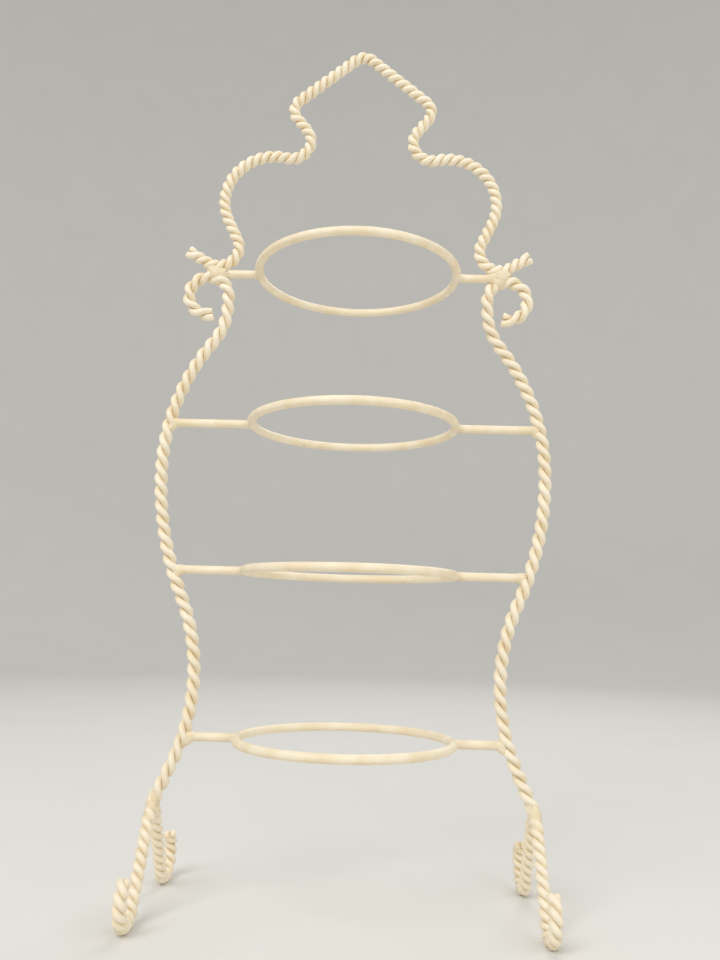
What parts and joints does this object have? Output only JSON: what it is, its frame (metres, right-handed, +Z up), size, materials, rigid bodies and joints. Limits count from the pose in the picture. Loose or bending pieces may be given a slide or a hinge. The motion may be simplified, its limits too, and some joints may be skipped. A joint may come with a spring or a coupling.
{
  "type": "tiered dish rack",
  "caption": "Free-standing tiered dish rack of painted wire: open rings on straight rods between twisted side posts, with a pointed crown, bow curls and curled feet.",
  "frame": {"origin": "on the table, midway between the four feet", "axes": "+Z up, X along the width of the frame, -Y the front, from which the stand was pictured"},
  "size_m": [0.2792, 0.15, 0.6166],
  "materials": {
    "cream_paint": "satin enamel over steel wire, slightly dusty"
  },
  "bodies": {
    "root": {"crown_wire_a": "cream_paint", "crown_wire_b": "cream_paint", "left_post_wire_a": "cream_paint", "left_post_wire_b": "cream_paint", "left_leg_wire_a": "cream_paint", "left_leg_wire_b": "cream_paint", "right_post_wire_a": "cream_paint", "right_post_wire_b": "cream_paint", "right_leg_wire_a": "cream_paint", "right_leg_wire_b": "cream_paint", "tier_1_ring": "cream_paint", "tier_1_left_rod": "cream_paint", "tier_1_right_rod": "cream_paint", "tier_2_ring": "cream_paint", "tier_2_left_rod": "cream_paint", "tier_2_right_rod": "cream_paint", "tier_3_ring": "cream_paint", "tier_3_left_rod": "cream_paint", "tier_3_right_rod": "cream_paint", "tier_4_ring": "cream_paint", "tier_4_left_rod": "cream_paint", "tier_4_right_rod": "cream_paint", "ring_welds": "cream_paint", "post_welds": "cream_paint", "bow_welds": "cream_paint", "leg_welds": "cream_paint"}
  },
  "joints": []
}
